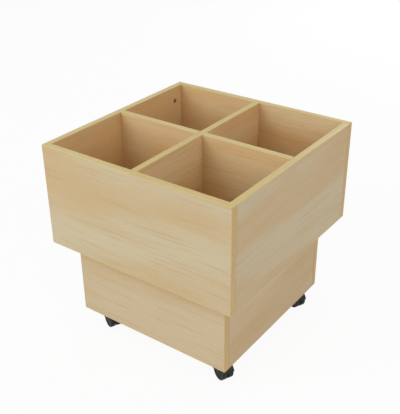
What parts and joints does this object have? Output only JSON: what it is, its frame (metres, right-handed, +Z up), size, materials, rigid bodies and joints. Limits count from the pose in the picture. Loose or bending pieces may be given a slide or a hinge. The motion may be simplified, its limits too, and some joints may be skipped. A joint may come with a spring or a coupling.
{
  "type": "picture book browser bin",
  "caption": "Mobile browser bin for picture books: a square open-top box with crossed dividers on a narrower plinth, rolling on swivel twin-wheel casters.",
  "frame": {"origin": "on the floor, under the middle of the bin", "axes": "+Z up, the front wall faces -Y, the right wall faces +X"},
  "size_m": [0.6, 0.6, 0.595],
  "materials": {
    "board": "satin melamine with a pale maple grain",
    "edge_band": "satin edge band, pale maple",
    "cam_zinc": "die-cast zinc",
    "steel": "zinc-plated steel",
    "black_plastic": "moulded black nylon"
  },
  "bodies": {
    "bin": {"bin_front_wall": "board", "bin_front_wall_edge_band": "edge_band", "plinth_front_panel": "board", "bin_back_wall": "board", "bin_back_wall_edge_band": "edge_band", "plinth_back_panel": "board", "bin_left_wall": "board", "bin_left_wall_edge_band": "edge_band", "plinth_left_panel": "board", "bin_right_wall": "board", "bin_right_wall_edge_band": "edge_band", "plinth_right_panel": "board", "bin_floor": "board", "plinth_base": "board", "divider_front_to_back": "board", "divider_left_to_right": "board", "divider_front_to_back_edge_band": "edge_band", "divider_left_to_right_edge_band_left": "edge_band", "divider_left_to_right_edge_band_right": "edge_band", "cam_lock_front_left_lower": "cam_zinc", "cam_bolt_front_left_lower": "steel", "cam_lock_front_left_upper": "cam_zinc", "cam_bolt_front_left_upper": "steel", "cam_lock_back_left_lower": "cam_zinc", "cam_bolt_back_left_lower": "steel", "cam_lock_back_left_upper": "cam_zinc", "cam_bolt_back_left_upper": "steel", "cam_lock_front_right_lower": "cam_zinc", "cam_bolt_front_right_lower": "steel", "cam_lock_front_right_upper": "cam_zinc", "cam_bolt_front_right_upper": "steel", "cam_lock_back_right_lower": "cam_zinc", "cam_bolt_back_right_lower": "steel", "cam_lock_back_right_upper": "cam_zinc", "cam_bolt_back_right_upper": "steel", "caster_front_left_plate": "steel", "caster_front_left_kingpin": "steel", "caster_front_right_plate": "steel", "caster_front_right_kingpin": "steel", "caster_back_left_plate": "steel", "caster_back_left_kingpin": "steel", "caster_back_right_plate": "steel", "caster_back_right_kingpin": "steel"},
    "caster_front_left": {"caster_front_left_housing": "black_plastic", "caster_front_left_axle": "steel"},
    "caster_front_left_wheel_1": {"caster_front_left_wheel_1": "black_plastic"},
    "caster_front_left_wheel_2": {"caster_front_left_wheel_2": "black_plastic"},
    "caster_front_right": {"caster_front_right_housing": "black_plastic", "caster_front_right_axle": "steel"},
    "caster_front_right_wheel_1": {"caster_front_right_wheel_1": "black_plastic"},
    "caster_front_right_wheel_2": {"caster_front_right_wheel_2": "black_plastic"},
    "caster_back_left": {"caster_back_left_housing": "black_plastic", "caster_back_left_axle": "steel"},
    "caster_back_left_wheel_1": {"caster_back_left_wheel_1": "black_plastic"},
    "caster_back_left_wheel_2": {"caster_back_left_wheel_2": "black_plastic"},
    "caster_back_right": {"caster_back_right_housing": "black_plastic", "caster_back_right_axle": "steel"},
    "caster_back_right_wheel_1": {"caster_back_right_wheel_1": "black_plastic"},
    "caster_back_right_wheel_2": {"caster_back_right_wheel_2": "black_plastic"}
  },
  "joints": [
    {"name": "caster_front_left_swivel", "type": "hinge", "parent": "bin", "child": "caster_front_left", "pos_m": [-0.2, -0.2, 0], "axis": [0, 0, 1], "continuous": true},
    {"name": "caster_front_left_wheel_1_spin", "type": "hinge", "parent": "caster_front_left", "child": "caster_front_left_wheel_1", "pos_m": [-0.18173, -0.20813, 0.025], "axis": [0.4067, 0.9135, 0], "continuous": true},
    {"name": "caster_front_left_wheel_2_spin", "type": "hinge", "parent": "caster_front_left", "child": "caster_front_left_wheel_2", "pos_m": [-0.18173, -0.20813, 0.025], "axis": [0.4067, 0.9135, 0], "continuous": true},
    {"name": "caster_front_right_swivel", "type": "hinge", "parent": "bin", "child": "caster_front_right", "pos_m": [0.2, -0.2, 0], "axis": [0, 0, 1], "continuous": true},
    {"name": "caster_front_right_wheel_1_spin", "type": "hinge", "parent": "caster_front_right", "child": "caster_front_right_wheel_1", "pos_m": [0.21827, -0.20813, 0.025], "axis": [0.4067, 0.9135, 0], "continuous": true},
    {"name": "caster_front_right_wheel_2_spin", "type": "hinge", "parent": "caster_front_right", "child": "caster_front_right_wheel_2", "pos_m": [0.21827, -0.20813, 0.025], "axis": [0.4067, 0.9135, 0], "continuous": true},
    {"name": "caster_back_left_swivel", "type": "hinge", "parent": "bin", "child": "caster_back_left", "pos_m": [-0.2, 0.2, 0], "axis": [0, 0, 1], "continuous": true},
    {"name": "caster_back_left_wheel_1_spin", "type": "hinge", "parent": "caster_back_left", "child": "caster_back_left_wheel_1", "pos_m": [-0.18173, 0.19187, 0.025], "axis": [0.4067, 0.9135, 0], "continuous": true},
    {"name": "caster_back_left_wheel_2_spin", "type": "hinge", "parent": "caster_back_left", "child": "caster_back_left_wheel_2", "pos_m": [-0.18173, 0.19187, 0.025], "axis": [0.4067, 0.9135, 0], "continuous": true},
    {"name": "caster_back_right_swivel", "type": "hinge", "parent": "bin", "child": "caster_back_right", "pos_m": [0.2, 0.2, 0], "axis": [0, 0, 1], "continuous": true},
    {"name": "caster_back_right_wheel_1_spin", "type": "hinge", "parent": "caster_back_right", "child": "caster_back_right_wheel_1", "pos_m": [0.21827, 0.19187, 0.025], "axis": [0.4067, 0.9135, 0], "continuous": true},
    {"name": "caster_back_right_wheel_2_spin", "type": "hinge", "parent": "caster_back_right", "child": "caster_back_right_wheel_2", "pos_m": [0.21827, 0.19187, 0.025], "axis": [0.4067, 0.9135, 0], "continuous": true}
  ]
}
